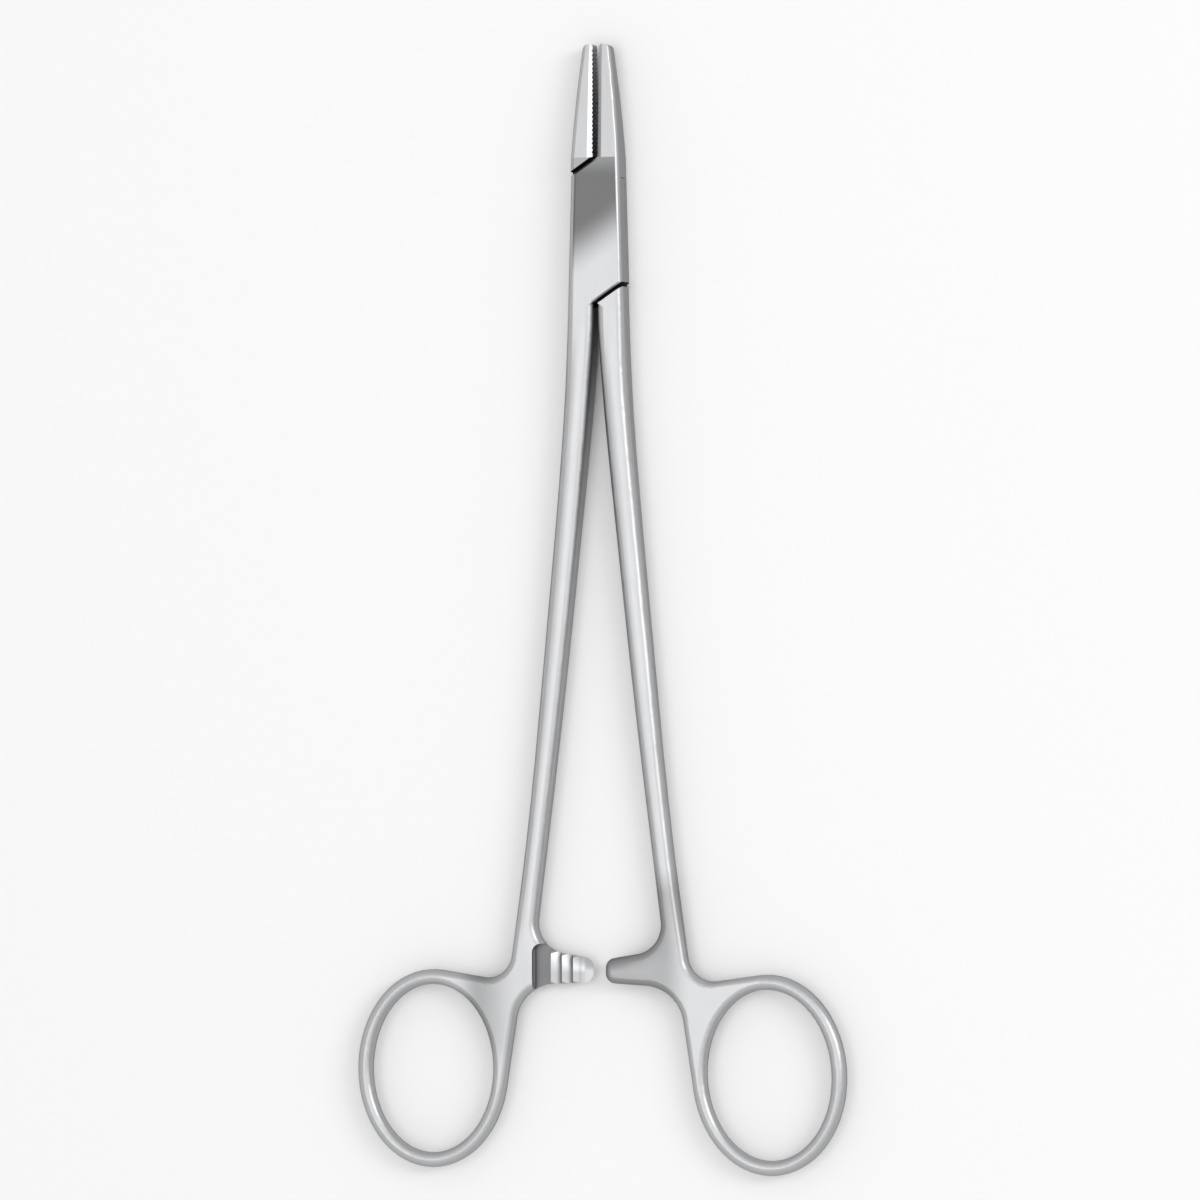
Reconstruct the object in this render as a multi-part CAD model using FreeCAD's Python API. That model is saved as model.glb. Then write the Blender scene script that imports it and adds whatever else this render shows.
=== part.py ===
import FreeCAD, Part
import math
import os
from FreeCAD import Vector

# Ring-handled needle holder with a box lock, lying flat, jaws towards +Y.
# Lengths are in millimetres and angles in degrees.
# The origin is on the pivot axis, on the back face of the box.
# Everything is drawn about the middle plane of the instrument and lifted at the end.

# Box lock
box_thickness = 5.0
box_half_width = 3.95
box_foot_half_width = 4.5
box_end_rise = 0.05
taper_start_y = -13.0
taper_slow_y = -48.0
taper_slow_thickness = 3.4
taper_blend_radius = 700.0
tongue_thickness = 1.6
cheek_clearance = 0.05
seam_height = 8.6
seam_angle = 33.7
seam_gap = 0.6
seam_edge_bevel = 0.28
slot_radius = 9.3
slot_clearance = 0.1
pin_diameter = 2.8
pin_running_clearance = 0.05

# Jaws
jaw_tip_y = 29.6
jaw_gap_base = 0.8
jaw_gap_tip = 1.1
jaw_middle_y = 19.5
jaw_middle_width = 3.35
jaw_tip_width = 2.2
jaw_tip_thickness = 3.0
jaw_nose_radius = 1.2
jaw_lip_radius = 0.42
jaw_bevel_width_base = 0.8
jaw_bevel_width_tip = 0.5
jaw_bevel_depth_base = 0.65
jaw_bevel_depth_tip = 0.25
groove_pitch = 0.7
groove_depth = 0.12
groove_overlap = 1.4
groove_first_y = 12.4

# Shanks: each row is a height and the distance from the middle line of the instrument
shank_inner_edge = [(-24.5, 0.92), (-48.4, 3.15), (-77.0, 6.26), (-105.7, 9.78)]
shank_outer_edge = [(-24.5, 5.15), (-48.4, 7.15), (-77.0, 9.9), (-105.7, 13.2)]
shank_gap_half = 0.35
shank_inner_slope = 0.125
shank_outer_slope = 0.14

# Finger rings
ring_x = 28.0
ring_y = -133.65
ring_hole_half_width = 10.25
ring_hole_half_length = 13.5
ring_wire_width = 2.35
ring_tilt = 2.0
ring_end_y = -152.0
ring_end_thickness = 2.6
web_top_slope = 0.15
web_side_slope = 0.15
web_shank_radius = 4.2

# Ratchet arms
arm_tip_x = 1.17
arm_top_y = -115.75
arm_top_slope = 0.17
arm_bottom_y = -119.5
arm_bottom_slope = 0.05
arm_tip_radius = 1.55
arm_top_radius = 4.8
arm_bottom_radius = 6.6
ratchet_top_y = -113.4
ratchet_start_x = 10.9
ratchet_tooth_x = 8.2
ratchet_pitch = 1.85
ratchet_teeth = 3
ratchet_crest = 0.35
ratchet_floor = -0.5
ratchet_step = 0.12
ratchet_edge_bevel = 0.4
recess_border_radius = 1.4

# Rounding of the long edges
shank_edge_radius = 1.12
box_edge_radius = 0.7

# Room for cutting shapes to run past what they cut, and a little of it
beyond = 200.0
past = 1.0

# A face that slopes less than the first angle is a front or back, and a steeper one than the second is a wall
level_angle = 25.8
wall_angle = 72.5

half_thickness = box_thickness / 2
seam_slope = math.tan(math.radians(seam_angle))
seam_gap_height = seam_gap / math.cos(math.radians(seam_angle))

# The jaws begin where the upper seam reaches the gap between them
box_end_y = seam_height + (box_half_width + jaw_gap_base / 2) * seam_slope + box_end_rise


def point(x, y, z=0.0):
    return Vector(x, y, z)


def line(a, b):
    return Part.LineSegment(a, b).toShape()


def spline(points, start_direction, end_direction):
    curve = Part.BSplineCurve()
    curve.interpolate(Points=points, InitialTangent=start_direction, FinalTangent=end_direction)
    return curve.toShape()


def crossing(a, direction_a, b, direction_b):
    """Point where two lines in the plan meet."""
    across = direction_a.x * direction_b.y - direction_a.y * direction_b.x
    along = ((b.x - a.x) * direction_b.y - (b.y - a.y) * direction_b.x) / across
    return a + direction_a * along


def rounded(before, corner, after, radius):
    """Start, arc and end of the arc that rounds a corner."""
    back = (before - corner).normalize()
    ahead = (after - corner).normalize()
    half = back.getAngle(ahead) / 2
    reach = radius / math.tan(half)
    start = corner + back * reach
    end = corner + ahead * reach
    middle = corner + (back + ahead).normalize() * (radius / math.sin(half) - radius)
    return start, Part.Arc(start, middle, end).toShape(), end


def prism(corners, low, high):
    """Upright solid over a polygon in the plan."""
    ring = [point(x, y, low) for x, y in corners]
    return Part.Face(Part.makePolygon(ring + ring[:1])).extrude(point(0, 0, high - low))


def turned_over(solid):
    """The same solid seen from the back: turned half a turn about the Y axis."""
    copy = solid.copy()
    copy.rotate(point(0, 0), point(0, 1), 180)
    return copy


def rims(solid, keep):
    """Edges where a front or back face meets an upright wall."""
    found = []
    for edge in solid.Edges:
        faces = solid.ancestorsOfType(edge, Part.Face)
        if len(faces) != 2 or not keep(edge):
            continue
        middle = edge.valueAt((edge.FirstParameter + edge.LastParameter) / 2)
        facing = [abs(face.normalAt(*face.Surface.parameter(middle)).z) for face in faces]
        slopes = [math.degrees(math.acos(min(1.0, upright))) for upright in facing]
        if min(slopes) < level_angle and max(slopes) > wall_angle:
            found.append(edge)
    return found


class Ring:
    """Ellipse of the left finger ring, grown by an offset from the edge of its hole."""

    def __init__(self, offset):
        self.half_width = ring_hole_half_width + offset
        self.half_length = ring_hole_half_length + offset
        tilt = math.radians(ring_tilt)
        self.centre = point(-ring_x, ring_y)
        self.across = point(math.cos(tilt), -math.sin(tilt))
        self.along = point(math.sin(tilt), math.cos(tilt))
        self.curve = Part.Ellipse(point(0, 0), self.half_length, self.half_width)
        turn = FreeCAD.Rotation(point(0, 0, 1), 90 - ring_tilt)
        self.curve.transform(FreeCAD.Placement(self.centre, turn).toMatrix())

    def touch(self, direction):
        """Point of the ellipse where its tangent has a direction."""
        rise = -self.half_length * direction.dot(self.across)
        run = self.half_width * direction.dot(self.along)
        angle = math.atan2(rise, run)
        across = self.across * (self.half_width * math.cos(angle))
        return self.centre + across + self.along * (self.half_length * math.sin(angle))

    def arc(self, start, end):
        return Part.ArcOfEllipse(self.curve, self.curve.parameter(start), self.curve.parameter(end)).toShape()


def seam_y(x):
    """Height of the upper seam of the box half at a distance from the middle line."""
    return seam_height + (x + box_half_width) * seam_slope


def flank(side):
    """One side of the box in plan: its straight edge and both ends."""
    head = point(side * box_half_width, box_end_y)
    foot = point(side * box_foot_half_width, -seam_height)
    return line(head, foot), head, foot


def half_plan():
    """Plan of the box half below the jaws: the lock between its seams, left shank, ratchet arm and ring."""
    down_inner = point(-shank_inner_slope, -1).normalize()
    down_outer = point(-shank_outer_slope, -1).normalize()
    left, left_head, left_foot = flank(-1)
    left_heading = (left_foot - left_head).normalize()
    right, right_head, right_foot = flank(1)
    fork = point(-shank_gap_half, -seam_y(shank_gap_half))
    inner = [fork] + [point(-x, y) for y, x in shank_inner_edge]
    outer = [left_foot] + [point(-x, y) for y, x in shank_outer_edge]

    arm_top = point(-arm_tip_x, arm_top_y)
    arm_bottom = point(-arm_tip_x, arm_bottom_y)
    arm_root = crossing(inner[-1], down_inner, arm_top, point(-1, arm_top_slope))

    rim = Ring(ring_wire_width)
    up_side = point(web_side_slope, 1).normalize()
    side = rim.touch(up_side)
    crown = rim.touch(point(-1, web_top_slope).normalize())
    arm_foot = crossing(side, up_side, arm_bottom, point(-1, -arm_bottom_slope))
    armpit = crossing(crown, point(1, -web_top_slope), outer[-1], down_outer)

    a0, arc_a, a1 = rounded(inner[-1], arm_root, arm_top, arm_top_radius)
    b0, arc_b, b1 = rounded(arm_root, arm_top, arm_bottom, arm_tip_radius)
    c0, arc_c, c1 = rounded(arm_top, arm_bottom, arm_foot, arm_tip_radius)
    d0, arc_d, d1 = rounded(arm_bottom, arm_foot, side, arm_bottom_radius)
    e0, arc_e, e1 = rounded(crown, armpit, outer[-1], web_shank_radius)
    edges = [
        spline(inner, point(0, -1), down_inner),
        line(inner[-1], a0), arc_a, line(a1, b0), arc_b, line(b1, c0), arc_c, line(c1, d0), arc_d,
        line(d1, side), rim.arc(crown, side), line(crown, e0), arc_e, line(e1, outer[-1]),
        spline(outer, left_heading, down_outer), left, line(left_head, right_head), right,
        line(right_foot, fork),
    ]
    outline = Part.Wire(Part.__sortEdges__(edges))
    hole = Ring(0)
    hole_inner, hole_outer = hole.touch(up_side), hole.touch(-up_side)
    hole_outline = Part.Wire([hole.arc(hole_inner, hole_outer), hole.arc(hole_outer, hole_inner)])
    return Part.Face([outline, hole_outline])


def thinning():
    """Front and back surfaces: level over the lock, then falling to the shanks and slowly on to the rings."""
    def surface(side):
        level = Vector(-beyond, box_end_y + past, side * half_thickness)
        bend = Vector(-beyond, taper_start_y, side * half_thickness)
        slow = Vector(-beyond, taper_slow_y, side * taper_slow_thickness / 2)
        low = Vector(-beyond, ring_end_y, side * ring_end_thickness / 2)
        start, arc, end = rounded(level, bend, slow, taper_blend_radius)
        slow_start, slow_arc, slow_end = rounded(end, slow, low, taper_blend_radius)
        return level, low, [line(level, start), arc, line(end, slow_start), slow_arc, line(slow_end, low)]

    front_top, front_low, front = surface(1)
    back_top, back_low, back = surface(-1)
    edges = front + back + [line(front_low, back_low), line(front_top, back_top)]
    return Part.Face(Part.Wire(Part.__sortEdges__(edges))).extrude(point(2 * beyond, 0))


def is_seam(edge):
    """An edge of the lock that leans across the instrument as its seams do."""
    along = edge.lastVertex().Point - edge.firstVertex().Point
    lean = math.sin(math.radians(seam_angle / 2))
    return edge.BoundBox.YMin > -box_end_y - past and abs(along.x) > lean * along.Length


def half_blank():
    """The box half below the jaws before its slot and teeth are cut, with all long edges rounded."""
    plan = half_plan()
    plan.translate(point(0, 0, -box_thickness))
    blank = plan.extrude(point(0, 0, 2 * box_thickness)).common([thinning()]).common(cheek_region())
    handle_rims = rims(blank, lambda edge: edge.CenterOfMass.x < -shank_gap_half and not is_seam(edge))
    blank = blank.makeFillet(shank_edge_radius, handle_rims)
    lock_rims = rims(blank, lambda edge: edge.CenterOfMass.x > box_half_width / 2 and not is_seam(edge))
    return blank.makeFillet(box_edge_radius, lock_rims)


def jaw_section(y, outer_x, half_height):
    """Section of the right jaw: flat towards the other jaw and rounded outside, as the side of the box is."""
    share = (y - box_end_y) / (jaw_tip_y - box_end_y)
    inner_x = (jaw_gap_base + share * (jaw_gap_tip - jaw_gap_base)) / 2
    lean = math.atan((box_foot_half_width - box_half_width) / (box_end_y + seam_height))
    corner_width = box_edge_radius / math.cos(lean)
    cx = outer_x - corner_width
    cz = half_height - box_edge_radius

    def at(x, z):
        return Vector(x, y, z)

    def corner(side):
        centre = at(cx, side * cz)
        curve = Part.Ellipse(at(outer_x, side * cz), at(cx, side * half_height), centre)
        return Part.ArcOfEllipse(curve, 0, math.pi / 2).toShape()

    return Part.Wire(Part.__sortEdges__([
        line(at(inner_x, -half_height), at(cx, -half_height)), corner(-1),
        line(at(outer_x, -cz), at(outer_x, cz)), corner(1),
        line(at(cx, half_height), at(inner_x, half_height)),
        line(at(inner_x, half_height), at(inner_x, -half_height)),
    ]))


def jaw_thickness(y):
    """Half thickness of a jaw, which thins evenly to its tip."""
    share = (y - box_end_y) / (jaw_tip_y - box_end_y)
    return half_thickness + share * (jaw_tip_thickness / 2 - half_thickness)


def jaw_nose():
    """Plan of the right jaw with its rounded tip, wider than the jaw everywhere else."""
    lip = point(jaw_gap_tip / 2, jaw_tip_y)
    corner = point(jaw_tip_width, jaw_tip_y)
    foot = point(box_foot_half_width, box_end_y)
    waist = point(box_foot_half_width, 0)
    heel = point(0, 0)
    toe = point(0, box_end_y)
    n0, nose, n1 = rounded(lip, corner, foot, jaw_nose_radius)
    m0, rounded_lip, m1 = rounded(toe, lip, n0, jaw_lip_radius)
    edges = [
        line(m1, n0), nose, line(n1, foot), line(foot, waist), line(waist, heel),
        line(heel, toe), line(toe, m0), rounded_lip,
    ]
    plan = Part.Face(Part.Wire(Part.__sortEdges__(edges)))
    plan.translate(point(0, 0, -box_thickness))
    return plan.extrude(point(0, 0, 2 * box_thickness))


def jaw():
    """Right jaw above the box."""
    stations = [(box_end_y, box_half_width), (jaw_middle_y, jaw_middle_width), (jaw_tip_y, jaw_tip_width)]
    sections = [jaw_section(y, x, jaw_thickness(y)) for y, x in stations]
    solid = Part.makeLoft(sections, True, False)
    solid = solid.common(jaw_nose())
    for side in (1, -1):
        solid = solid.cut(jaw_bevel(side))
    return solid.cut(jaw_grooves())


def jaw_bevel(side):
    """Wedge that takes the edge off beside the gripping face, on the front or the back."""
    def corner_triangle(y, x, z, width, depth):
        a = Vector(x - width, y, side * (z + depth))
        b = Vector(x - width, y, side * (z - 2 * depth))
        c = Vector(x + 2 * width, y, side * (z + depth))
        return Part.makePolygon([a, b, c, a])

    base_x = jaw_gap_base / 2
    tip_x = jaw_gap_tip / 2
    tip_z = jaw_tip_thickness / 2
    low = corner_triangle(box_end_y, base_x, half_thickness, jaw_bevel_width_base, jaw_bevel_depth_base)
    high = corner_triangle(jaw_tip_y, tip_x, tip_z, jaw_bevel_width_tip, jaw_bevel_depth_tip)
    return Part.makeLoft([low, high], True, True)


def jaw_grooves():
    """Cross grooves of the gripping face."""
    grooves = []
    count = int((jaw_tip_y - groove_first_y) / groove_pitch)
    for number in range(count):
        y = groove_first_y + number * groove_pitch
        share = (y - box_end_y) / (jaw_tip_y - box_end_y)
        face_x = (jaw_gap_base + share * (jaw_gap_tip - jaw_gap_base)) / 2
        a = (face_x - groove_depth, y - groove_pitch / 2 * groove_overlap)
        b = (face_x + groove_depth, y)
        c = (face_x - groove_depth, y + groove_pitch / 2 * groove_overlap)
        grooves.append(prism([a, b, c], -box_thickness, box_thickness))
    return Part.makeCompound(grooves)


def cheek_region():
    """What the box half keeps of the lock, in plan."""
    inner = jaw_gap_base / 2
    return prism([
        (-beyond, seam_y(-beyond)), (inner, seam_y(inner)), (inner, beyond), (beyond, beyond),
        (beyond, -seam_y(-beyond)), (-shank_gap_half, -seam_y(shank_gap_half)),
        (-shank_gap_half, -beyond), (-beyond, -beyond),
    ], -box_thickness, box_thickness)


def seam_bevels():
    """Narrow bevels along the seam edges of the box half, on the front and the back."""
    along = point(math.cos(math.radians(seam_angle)), math.sin(math.radians(seam_angle)))
    outward = point(-along.y, along.x)
    bevels = []
    for side in (1, -1):
        for turn, start_x, end_x in ((1, -beyond, jaw_gap_base / 2), (-1, -shank_gap_half, beyond)):
            start = point(start_x, turn * seam_y(turn * start_x), side * half_thickness)
            deep = Vector(0, 0, -side * seam_edge_bevel)
            back = outward * (-turn * seam_edge_bevel)
            triangle = [start + deep * 2 - back, start + back * 2 - deep, start - back - deep]
            reach = (end_x - start_x) / along.x
            bevels.append(Part.Face(Part.makePolygon(triangle + triangle[:1])).extrude(along * reach))
    return bevels


def shoulder_regions():
    """What the tongue half keeps of the lock at full thickness, in plan."""
    edge = -jaw_gap_base / 2
    upper = prism([
        (-beyond, seam_y(-beyond) + seam_gap_height), (edge, seam_y(edge) + seam_gap_height),
        (edge, beyond), (-beyond, beyond),
    ], -box_thickness, box_thickness)
    lower = prism([
        (beyond, -seam_y(-beyond) - seam_gap_height),
        (shank_gap_half, -seam_y(-shank_gap_half) - seam_gap_height),
        (shank_gap_half, -beyond), (beyond, -beyond),
    ], -box_thickness, box_thickness)
    return upper.fuse(lower)


def middle_layer(radius, upper_edge, lower_edge, half_height):
    """Round part about the pivot with its two passages, in the middle of the thickness."""
    disc = Part.makeCylinder(radius, 2 * half_height, point(0, 0, -half_height))
    above = [(-beyond, 0), (upper_edge, 0), (upper_edge, beyond), (-beyond, beyond)]
    below = [(beyond, 0), (lower_edge, 0), (lower_edge, -beyond), (beyond, -beyond)]
    passages = [prism(corners, -half_height, half_height) for corners in (above, below)]
    return disc.fuse(passages)


def slot():
    """Slot through the box that the tongue turns in."""
    half_height = tongue_thickness / 2 + cheek_clearance
    return middle_layer(slot_radius, jaw_gap_base / 2, -shank_gap_half, half_height)


def tongue_layer():
    """Space that the tongue fills."""
    return middle_layer(slot_radius - slot_clearance, -jaw_gap_base / 2, shank_gap_half, tongue_thickness / 2)


def ratchet_room(level):
    """Space in front of the left arm above a level, with a round corner at the shank."""
    top = point(-ratchet_start_x, ratchet_top_y)
    bottom_y = arm_bottom_y - arm_bottom_radius
    bottom = point(-ratchet_start_x, bottom_y)
    right_top = point(arm_tip_x, ratchet_top_y)
    right_bottom = point(arm_tip_x, bottom_y)
    start, corner, end = rounded(right_top, top, bottom, recess_border_radius)
    edges = [
        line(right_top, start), corner, line(end, bottom),
        line(bottom, right_bottom), line(right_bottom, right_top),
    ]
    plan = Part.Face(Part.Wire(Part.__sortEdges__(edges)))
    plan.translate(point(0, 0, level))
    return plan.extrude(point(0, 0, box_thickness))


def ratchet_valleys():
    """What is cut between the teeth, down to the recess beside the shank and the pad at the tip."""
    first = -ratchet_tooth_x
    above = ratchet_crest + past
    profiles = [[
        (-ratchet_start_x, above), (-ratchet_start_x + ratchet_step, ratchet_floor),
        (first, ratchet_floor), (first + ratchet_step, ratchet_crest), (first + ratchet_step, above),
    ]]
    for number in range(ratchet_teeth):
        crest_x = first + number * ratchet_pitch + ratchet_step
        steep_x = crest_x - ratchet_step + ratchet_pitch
        profile = [(crest_x, above), (crest_x, ratchet_crest), (steep_x, ratchet_floor)]
        if number == ratchet_teeth - 1:
            profile += [(arm_tip_x, ratchet_floor), (arm_tip_x, above)]
        else:
            profile += [(steep_x + ratchet_step, ratchet_crest), (steep_x + ratchet_step, above)]
        profiles.append(profile)
    cuts = []
    room = ratchet_room(ratchet_floor - past)
    for profile in profiles:
        wire = [Vector(x, ratchet_top_y, z) for x, z in profile]
        face = Part.Face(Part.makePolygon(wire + wire[:1]))
        across = face.extrude(point(0, arm_bottom_y - arm_bottom_radius - ratchet_top_y))
        cuts.append(across.common(room))
    return cuts


def tooth_bar():
    """Bar with bevelled top edges that the teeth stand in, along the straight part of the arm."""
    reach = ratchet_crest - ratchet_floor + past
    sections = []
    for x in (-ratchet_start_x - past, arm_tip_x):
        top_y = arm_top_y - (x + arm_tip_x) * arm_top_slope
        bottom_y = arm_bottom_y + (x + arm_tip_x) * arm_bottom_slope
        corners = [
            Vector(x, bottom_y + ratchet_edge_bevel, ratchet_crest),
            Vector(x, top_y - ratchet_edge_bevel, ratchet_crest),
            Vector(x, top_y - ratchet_edge_bevel + reach, ratchet_crest - reach),
            Vector(x, bottom_y + ratchet_edge_bevel - reach, ratchet_crest - reach),
        ]
        sections.append(Part.makePolygon(corners + corners[:1]))
    return Part.makeLoft(sections, True, True)


def with_ratchet(blank):
    """The blank with the teeth on the front of its arm."""
    return blank.cut([ratchet_room(ratchet_floor).cut(tooth_bar())]).cut(ratchet_valleys())


def bore(diameter):
    return Part.makeCylinder(diameter / 2, 2 * box_thickness, point(0, 0, -box_thickness))


def box_half(blank, right_jaw):
    solid = blank.cut([slot(), bore(pin_diameter)] + seam_bevels())
    return solid.fuse(right_jaw).removeSplitter()


def tongue_half(blank, right_jaw):
    turned = turned_over(blank)
    outside = turned.common(shoulder_regions())
    middle = turned.common(tongue_layer())
    solid = middle.fuse([outside, turned_over(right_jaw)])
    return solid.cut(bore(pin_diameter + 2 * pin_running_clearance)).removeSplitter()


def pivot_pin():
    return Part.makeCylinder(pin_diameter / 2, box_thickness, point(0, 0, -half_thickness))


def save(name, solid):
    lifted = solid.copy()
    lifted.translate(point(0, 0, half_thickness))
    state = "valid" if lifted.isValid() else "NOT VALID"
    print(name, state, len(lifted.Solids), "solid", round(lifted.Volume, 2), "mm3")
    lifted.exportStep(os.path.join("parts", name + ".step"))


os.makedirs("parts", exist_ok=True)
blank_half = with_ratchet(half_blank())
front_jaw = jaw()
save("box_half", box_half(blank_half, front_jaw))
save("tongue_half", tongue_half(blank_half, front_jaw))
save("pivot_pin", pivot_pin())
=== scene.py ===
# %% [markdown]
# ## A needle holder in satin steel
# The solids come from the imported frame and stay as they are. This lesson gives them their finish, puts soft
# light and a pale floor round them and places the camera of the photograph. Every length is in metres.

# %% Load the frame
import math

import bpy
from mathutils import Matrix, Vector

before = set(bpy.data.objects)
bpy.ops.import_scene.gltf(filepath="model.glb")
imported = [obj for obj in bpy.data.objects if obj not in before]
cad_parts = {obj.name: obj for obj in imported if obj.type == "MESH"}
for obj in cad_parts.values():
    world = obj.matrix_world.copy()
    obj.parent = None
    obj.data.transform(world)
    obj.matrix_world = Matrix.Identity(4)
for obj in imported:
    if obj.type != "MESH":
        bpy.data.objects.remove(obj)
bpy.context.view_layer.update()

# %% [markdown]
# ## Places on the instrument
# The lock lies about the origin and the jaws point along +Y. A pair of values is a range: the limits of an
# area, or where a soft step begins and where it ends. A value with SOFT in its name is the width of a step.

# %% Lock and jaws
MM = 0.001

# Upper seam of the box half: painted shade in the joint above it, a painted highlight on the bevel below it
SEAM_HEIGHT = 8.6 * MM
SEAM_SLOPE = math.tan(math.radians(33.7))
BOX_HALF_WIDTH = 3.95 * MM
JOINT_RISE = (0.0, 0.72 * MM)
JOINT_SOFT = 0.04 * MM
JOINT_ACROSS = (-4.6 * MM, 0.4 * MM)
JOINT_END_SOFT = 0.05 * MM
BEVEL_RISE = (-0.36 * MM, 0.0)
BEVEL_SOFT = 0.03 * MM
BEVEL_ACROSS = (-3.6 * MM, 0.4 * MM)
BEVEL_END_SOFT = 0.1 * MM

# Heights over the back of the instrument, and how far off its middle the faces of the lock lie
MIDDLE_LEVEL = 2.5 * MM
CREST_LEVEL = 2.85 * MM
CHEEK_LEVEL = (1.9 * MM, 2.0 * MM)

# Bevels beside the gripping faces, with a painted highlight: how level, where they begin and how far out
JAW_BEVEL_FACING = (0.72, 0.90)
JAW_BEVEL_FACING_SOFT = 0.03
JAW_BEVEL_START = (11.0 * MM, 11.4 * MM)
JAW_BEVEL_SIDE = (1.25 * MM, 1.5 * MM)

# Level faces of the lock: how level they are, where they end, and where and how much shade is painted on them
LOCK_FACING = (0.9, 0.99)
LOCK_END = (11.45 * MM, 11.65 * MM)
LOCK_RISE = (-6.0 * MM, 3.0 * MM)
LOCK_DARKNESS = 0.72
NEAR_JAW = (8.5 * MM, 11.55 * MM)
NEAR_JAW_RELIEF = 0.16
SHOULDER_RISE = (0.0, 2.0 * MM)
SHOULDER_DARKNESS = 0.35
print("upper seam at", SEAM_HEIGHT, "with a slope of", round(SEAM_SLOPE, 4))

# %% [markdown]
# Below the lock lie the shanks, the webs that join them to the rings, and the ratchet between the webs.

# %% Ratchet, shanks and webs
# Ratchet teeth: depth below their crests, level of the sunk field and the area they take up
TOOTH_DEPTH = (0.30 * MM, 0.85 * MM)
FIELD_LEVEL = (1.7 * MM, 1.95 * MM)
TEETH_ACROSS = (-10.8 * MM, -3.4 * MM)
TEETH_ACROSS_SOFT = 0.4 * MM
TEETH_ALONG = (-124.0 * MM, -113.2 * MM)
TEETH_ALONG_SOFT = 0.1 * MM
# How dark the painted shade deep between the teeth is
TOOTH_DARKNESS = 0.55

# Shanks: distance of the centre line at the pivot, its slope and its bend, and the roundness across it
SHANK_START = 1.252 * MM
SHANK_SLOPE = 0.0651
SHANK_BEND = 0.297
SHANK_ALONG = (26.0 * MM, 104.0 * MM)
SHANK_SOFT = 14.0 * MM
SHANK_CROWN = 90.0

# Webs between shanks and rings: their area, their painted shade and the brighter part of each
WEB_ALONG = (106.0 * MM, 128.0 * MM)
WEB_SOFT = 6.0 * MM
WEB_SIDE = (20.0 * MM, 24.0 * MM)
WEB_DARKNESS = 0.36
LEFT_WEB_START = (-20.0 * MM, -13.0 * MM)
LEFT_WEB_END = (-1.0 * MM, 1.0 * MM)
RIGHT_WEB_START = (11.0 * MM, 15.5 * MM)
print("teeth between", TEETH_ACROSS, "across and", TEETH_ALONG, "along")

# %% [markdown]
# ## Colours and finish
# The colours are those of steel as this light shows it, with painted shade and painted highlights among
# them. Each amount says how much of a pattern or of a place goes into brightness, roughness or relief.

# %% Colours and amounts
# Colours: level faces, painted highlight on bevels, grazing reflections, painted shade of sides and recesses
STEEL = (0.272, 0.275, 0.281)
STEEL_PAINTED_HIGHLIGHT = (0.85, 0.855, 0.865)
STEEL_EDGE = (0.4, 0.4, 0.4)
STEEL_SIDE_PAINTED_SHADE = (0.034, 0.035, 0.038)
STEEL_RECESS_PAINTED_SHADE = (0.03, 0.03, 0.032)

# Noise: scale, detail and, for the grain, how it is drawn out along the instrument
GRAIN = (5200.0, 3.0, (1.0, 0.03, 1.0))
RING_GRAIN = (2600.0, 3.0)
RING_GRAIN_SPAN = 0.4
RING_GRAIN_LEAST = 0.3
RING_START = (108.0 * MM, 118.0 * MM)
MOTTLE = (260.0, 4.0)
CLOUD = (45.0, 2.0)

# Finish: levelness ending the painted side shade; brightness, roughness and relief with what adds to them
SIDE_FACING = (0.60, 0.98)
SHINE = 0.90
GRAIN_SHINE = 0.12
MOTTLE_SHINE = 0.08
ROUGHNESS = 0.15
GRAIN_ROUGHNESS = 0.08
CLOUD_ROUGHNESS = 0.07
RECESS_ROUGHNESS = 0.25
BEVEL_ROUGHNESS = 0.35
GRAIN_HEIGHT = 0.0024 * MM

# For each piece: 1 if it lies in the cheeks of the lock, then 1 or -1 for teeth on its front or its back
FINISH = {"box_half": (1.0, 1.0), "tongue_half": (0.0, -1.0), "pivot_pin": (1.0, 1.0)}
print("finish:", sorted(FINISH))

# %% [markdown]
# ## Studio and camera
# The lamps stand where the highlights of the photograph put them, and the camera where its outline does.

# %% Studio and camera values
# Floor and surrounding
FLOOR = (0.93, 0.93, 0.93)
FLOOR_HALF = 2.0
FLOOR_ROUGHNESS = 0.9
FLOOR_SPECULAR = 0.1
WORLD = (1.0, 1.0, 1.0)
WORLD_STRENGTH = 0.74

# Lamps: place, width, height and how bright the face looks, where 1 is plain white
LAMPS = {
    "strip_upper": ((-0.27, 0.015, 1.08), 0.18, 0.27, 2.5),
    "strip_lower": ((-0.27, -0.335, 1.08), 0.18, 0.43, 1.3),
    "strip_right": ((1.1, 0.3, 0.85), 0.3, 0.64, 7.0),
    "overhead": ((0.12, 0.0, 1.15), 1.0, 1.4, 0.49),
}

# A square metre of lamp face that looks plain white gives this many watts
WATTS_PER_GLOW = math.pi

# Camera: how far it is turned to the right of straight above and rolled, what it looks at, how wide the frame
# is there, and the width of its sensor in millimetres
CAMERA_TURN = math.radians(17.47)
CAMERA_ROLL = math.radians(-0.1)
CAMERA_DISTANCE = 1.0
CAMERA_TARGET = Vector((0.00013, -0.05868, 0.0025))
FRAME_WIDTH = 0.19075
SENSOR = 36.0
print("lamps:", sorted(LAMPS), "camera turned by", round(math.degrees(CAMERA_TURN), 2), "degrees")


# %% [markdown]
# ## A small helper for shader sums
# Writing a shader as nodes and links hides what it computes. This class wraps a socket, so that sums of
# sockets read as ordinary sums, and `make` reaches any other node.

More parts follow.
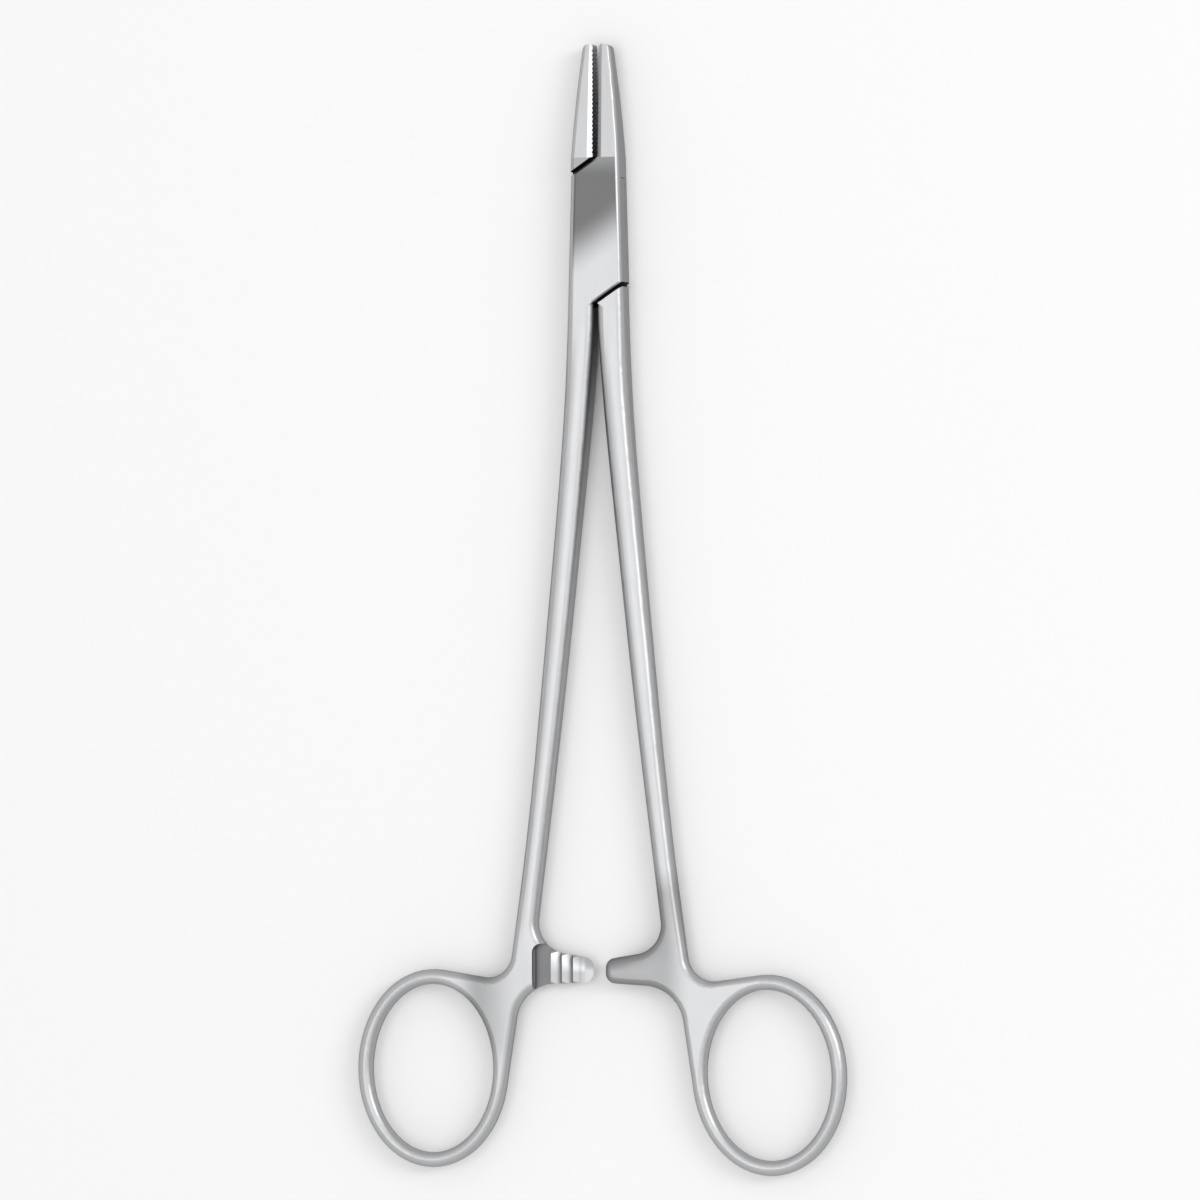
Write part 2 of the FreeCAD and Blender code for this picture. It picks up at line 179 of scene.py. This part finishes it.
# %% Shader values
class Shade:
    """The output of a shader node, which can be added, multiplied and handed to other nodes."""

    def __init__(self, tree, socket):
        self.tree = tree
        self.socket = socket

    def make(self, kind, output, inputs, **settings):
        """Adds a node of a kind to the same tree, fills its inputs and gives one of its outputs."""
        node = self.tree.nodes.new(kind)
        for name, value in settings.items():
            setattr(node, name, value)
        for place, value in inputs.items():
            if isinstance(value, Shade):
                self.tree.links.new(value.socket, node.inputs[place])
            else:
                node.inputs[place].default_value = value
        return Shade(self.tree, node.outputs[output])

    def math(self, operation, *values):
        inputs = dict(enumerate(values))
        return self.make("ShaderNodeMath", 0, inputs, operation=operation)

    def __add__(self, other):
        return self.math("ADD", self, other)

    def __radd__(self, other):
        return self.math("ADD", other, self)

    def __sub__(self, other):
        return self.math("SUBTRACT", self, other)

    def __rsub__(self, other):
        return self.math("SUBTRACT", other, self)

    def __mul__(self, other):
        return self.math("MULTIPLY", self, other)

    def __abs__(self):
        return self.math("ABSOLUTE", self)

    def smooth(self, low, high):
        """0 below low, 1 above high, with a soft step between."""
        inputs = {"Value": self, "From Min": low, "From Max": high}
        return self.make("ShaderNodeMapRange", 0, inputs, interpolation_type="SMOOTHSTEP")

    def mix(self, first, second):
        """First colour where this is 0 and second where it is 1."""
        inputs = {0: self, 6: first, 7: second}
        return self.make("ShaderNodeMix", 2, inputs, data_type="RGBA")

    def noise(self, scale, detail, stretch=(1.0, 1.0, 1.0)):
        """Noise over this position, drawn out along an axis by a small stretch factor."""
        place = self.make("ShaderNodeVectorMath", 0, {0: self, 1: stretch}, operation="MULTIPLY")
        inputs = {"Vector": place, "Scale": scale, "Detail": detail}
        return self.make("ShaderNodeTexNoise", 0, inputs)


def rgb(colour):
    return (*colour, 1.0)


def axes_of(tree, socket):
    """The three parts of a vector socket."""
    node = tree.nodes.new("ShaderNodeSeparateXYZ")
    tree.links.new(socket, node.inputs[0])
    return [Shade(tree, output) for output in node.outputs]


def between(value, limits, soft):
    """1 where a value lies between two limits, fading over a soft margin outside them."""
    low, high = limits
    return value.smooth(low - soft, low) * (1.0 - value.smooth(high, high + soft))


# %% [markdown]
# ## Joints, bevels and teeth
# The seams slope across the box, so a point's place along Y and along X tells how far it is from one. The
# joint above the upper seam gets painted shade, and so does its twin at the lower seam. The bevel below the
# upper seam gets a painted highlight, and so do the bevels beside the gripping faces.

# %% Painted shade and painted highlights
def seam_rise(x, y):
    """Height of a point above the upper seam of the box half."""
    return y - (SEAM_HEIGHT + (BOX_HALF_WIDTH + x) * SEAM_SLOPE)


def joint_painted_shade(x, y):
    """1 inside the narrow joint above the upper seam of the box half, where shade is painted."""
    joint = between(seam_rise(x, y), JOINT_RISE, JOINT_SOFT)
    return joint * between(x, JOINT_ACROSS, JOINT_END_SOFT)


def bevel_painted_highlight(x, y, off_middle, flatness):
    """1 on the bevels that get a painted highlight: below the upper seam and beside the gripping faces."""
    edge = between(seam_rise(x, y), BEVEL_RISE, BEVEL_SOFT) * between(x, BEVEL_ACROSS, BEVEL_END_SOFT)
    seam = edge * off_middle.smooth(*CHEEK_LEVEL)
    slanted = between(flatness, JAW_BEVEL_FACING, JAW_BEVEL_FACING_SOFT)
    jaws = slanted * y.smooth(*JAW_BEVEL_START) * (1.0 - abs(x).smooth(*JAW_BEVEL_SIDE))
    return (seam + jaws).math("MINIMUM", 1.0)


def tooth_painted_shade(x, y, level):
    """1 deep between the ratchet teeth, where shade is painted."""
    deep = (CREST_LEVEL - level).smooth(*TOOTH_DEPTH) * level.smooth(*FIELD_LEVEL)
    area = between(x, TEETH_ACROSS, TEETH_ACROSS_SOFT) * between(y, TEETH_ALONG, TEETH_ALONG_SOFT)
    return deep * area


# %% [markdown]
# ## Roundness and painted shade
# The shanks are slightly round across, which shows as one bright line along each. The cheeks of the lock
# get painted shade towards the jaws, and each web gets painted shade on its left.

# %% Shanks, lock and webs
def shank_crown(x, y):
    """How far a point lies below the crown of a shank, which is highest along its centre line."""
    down = y * -1.0
    centre = SHANK_START + down * SHANK_SLOPE + down * down * SHANK_BEND
    off = abs(x) - centre
    along = between(down, SHANK_ALONG, SHANK_SOFT)
    return off * off * along * SHANK_CROWN


def lock_painted_shade(x, y, flatness, cheeks):
    """Painted shade on the level faces of the lock: the cheeks darken towards the jaws, the shoulder evenly.
    """
    level = flatness.smooth(*LOCK_FACING) * (1.0 - y.smooth(*LOCK_END))
    across = (y - x * SEAM_SLOPE).smooth(*LOCK_RISE)
    box = across * (LOCK_DARKNESS - y.smooth(*NEAR_JAW) * NEAR_JAW_RELIEF) * cheeks
    shoulder = y.smooth(*SHOULDER_RISE) * SHOULDER_DARKNESS * (1.0 - cheeks)
    return 1.0 - level * (box + shoulder)


def web_painted_shade(x, y):
    """Painted shade on the webs beside the shanks, which are darker on their left."""
    left = x.smooth(*LEFT_WEB_START) * (1.0 - x.smooth(*LEFT_WEB_END))
    right = x.smooth(*RIGHT_WEB_START)
    web = between(y * -1.0, WEB_ALONG, WEB_SOFT) * (1.0 - abs(x).smooth(*WEB_SIDE))
    return 1.0 - web * (1.0 - left - right) * WEB_DARKNESS


# %% [markdown]
# ## Satin steel
# The faces of such an instrument are ground along their length. The sides get painted shade, so colour
# follows the direction a surface faces in the object's own frame. Fine lines along Y, an even grain on the
# rings and slow changes of gloss complete it, and the painted shade and highlights above are laid over them.

# %% Steel
def steel(name, cheeks, front):
    """Satin steel. cheeks is 1 for what lies in the cheeks, front is 1 or -1 for the side of the teeth."""
    material = bpy.data.materials.new(name)
    material.use_nodes = True
    tree = material.node_tree
    shader = tree.nodes["Principled BSDF"]
    coordinates = tree.nodes.new("ShaderNodeTexCoord")
    place = Shade(tree, coordinates.outputs["Object"])
    x, y, z = axes_of(tree, coordinates.outputs["Object"])
    flatness = abs(axes_of(tree, coordinates.outputs["Normal"])[2])
    off_middle = abs(z - MIDDLE_LEVEL)
    level = MIDDLE_LEVEL + (z - MIDDLE_LEVEL) * front

    ring_part = (y * -1.0).smooth(*RING_START)
    ring_grain = place.noise(*RING_GRAIN) * RING_GRAIN_SPAN + RING_GRAIN_LEAST
    grain = place.noise(*GRAIN) * (1.0 - ring_part) + ring_grain * ring_part
    mottle = place.noise(*MOTTLE)
    cloud = place.noise(*CLOUD)

    joints = joint_painted_shade(x, y) + joint_painted_shade(x * -1.0, y * -1.0)
    painted_recess_shade = joints + tooth_painted_shade(x * front, y, level) * TOOTH_DARKNESS
    painted_bevel_highlight = bevel_painted_highlight(x, y, off_middle, flatness)
    tone_and_painted_shade = grain * GRAIN_SHINE + mottle * MOTTLE_SHINE + SHINE
    # Painted shade: the lock darkens towards the jaws and each web on its left
    tone_and_painted_shade = tone_and_painted_shade * lock_painted_shade(x, y, flatness, cheeks) * web_painted_shade(x, y)

    # Painted shade: faces that turn away from straight up take the dark side colour
    colour = flatness.smooth(*SIDE_FACING).mix(rgb(STEEL_SIDE_PAINTED_SHADE), rgb(STEEL))
    # Painted highlight: the bevels take a bright colour
    colour = painted_bevel_highlight.mix(colour, rgb(STEEL_PAINTED_HIGHLIGHT))
    # Painted shade in the joints and deep between the teeth
    colour = painted_recess_shade.mix(colour, rgb(STEEL_RECESS_PAINTED_SHADE))
    colour = colour.make("ShaderNodeVectorMath", 0, {0: colour, "Scale": tone_and_painted_shade}, operation="SCALE")
    roughness = ROUGHNESS + grain * GRAIN_ROUGHNESS + cloud * CLOUD_ROUGHNESS
    roughness = roughness + painted_recess_shade * RECESS_ROUGHNESS + painted_bevel_highlight * BEVEL_ROUGHNESS
    height = grain * GRAIN_HEIGHT - shank_crown(x, y)
    relief = height.make("ShaderNodeBump", 0, {"Height": height, "Strength": 1.0, "Distance": 1.0})

    tree.links.new(colour.socket, shader.inputs["Base Color"])
    tree.links.new(roughness.socket, shader.inputs["Roughness"])
    tree.links.new(relief.socket, shader.inputs["Normal"])
    shader.inputs["Metallic"].default_value = 1.0
    shader.inputs["Specular Tint"].default_value = rgb(STEEL_EDGE)
    return material


for node_name, (cheeks, front) in FINISH.items():
    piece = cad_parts[node_name]
    for slot in piece.material_slots:
        slot.link = "OBJECT"
        slot.material = steel(node_name + "_steel", cheeks, front)
    even = piece.modifiers.new("even_normals", "WEIGHTED_NORMAL")
    even.keep_sharp = True
    even.weight = 100
    print(node_name, "faces:", len(piece.data.polygons), "slots:", len(piece.material_slots))


# %% [markdown]
# ## Floor and light
# A pale floor carries the instrument. Two narrow strips hang above its left and draw the bright lines along
# the shanks, a lower strip on the right lights the flanks, a wide lamp overhead fills the faces, and an even
# white surrounding keeps the shadows open.

# %% Studio
def lamp(name, place, width, height, glow):
    """Soft box that shines at the instrument."""
    data = bpy.data.lights.new(name, "AREA")
    data.shape = "RECTANGLE"
    data.size = width
    data.size_y = height
    data.energy = glow * width * height * WATTS_PER_GLOW
    thing = bpy.data.objects.new(name, data)
    bpy.context.collection.objects.link(thing)
    thing.location = place
    thing.rotation_euler = (CAMERA_TARGET - Vector(place)).to_track_quat("-Z", "Y").to_euler()
    print(name, "watts:", round(data.energy, 3))


def floor():
    """Square floor that the instrument lies on."""
    mesh = bpy.data.meshes.new("floor")
    corners = [(x * FLOOR_HALF, y * FLOOR_HALF, 0.0) for x, y in ((-1, -1), (1, -1), (1, 1), (-1, 1))]
    mesh.from_pydata(corners, [], [(0, 1, 2, 3)])
    thing = bpy.data.objects.new("floor", mesh)
    bpy.context.collection.objects.link(thing)
    material = bpy.data.materials.new("floor_white")
    material.use_nodes = True
    shader = material.node_tree.nodes["Principled BSDF"]
    shader.inputs["Base Color"].default_value = rgb(FLOOR)
    shader.inputs["Roughness"].default_value = FLOOR_ROUGHNESS
    shader.inputs["Specular IOR Level"].default_value = FLOOR_SPECULAR
    mesh.materials.append(material)
    return thing


floor()
for lamp_name, settings in LAMPS.items():
    lamp(lamp_name, *settings)

world = bpy.data.worlds.new("studio")
world.use_nodes = True
background = world.node_tree.nodes["Background"]
background.inputs["Color"].default_value = rgb(WORLD)
background.inputs["Strength"].default_value = WORLD_STRENGTH
bpy.context.scene.world = world
bpy.context.scene.view_settings.view_transform = "Standard"

# %% [markdown]
# ## Camera
# The photograph was taken from a little to the right of straight above, so the right-hand flanks of the
# instrument show and its left-hand ones hide.

# %% Camera
camera_data = bpy.data.cameras.new("camera")
camera_data.sensor_width = SENSOR
camera_data.lens = SENSOR * CAMERA_DISTANCE / FRAME_WIDTH
camera = bpy.data.objects.new("camera", camera_data)
bpy.context.collection.objects.link(camera)
direction = Vector((math.sin(CAMERA_TURN), 0.0, math.cos(CAMERA_TURN)))
camera.location = CAMERA_TARGET + direction * CAMERA_DISTANCE
turned = Matrix.Rotation(CAMERA_TURN, 3, "Y") @ Matrix.Rotation(CAMERA_ROLL, 3, "Z")
camera.rotation_euler = turned.to_euler()
bpy.context.scene.camera = camera
print("camera at", [round(v, 4) for v in camera.location])
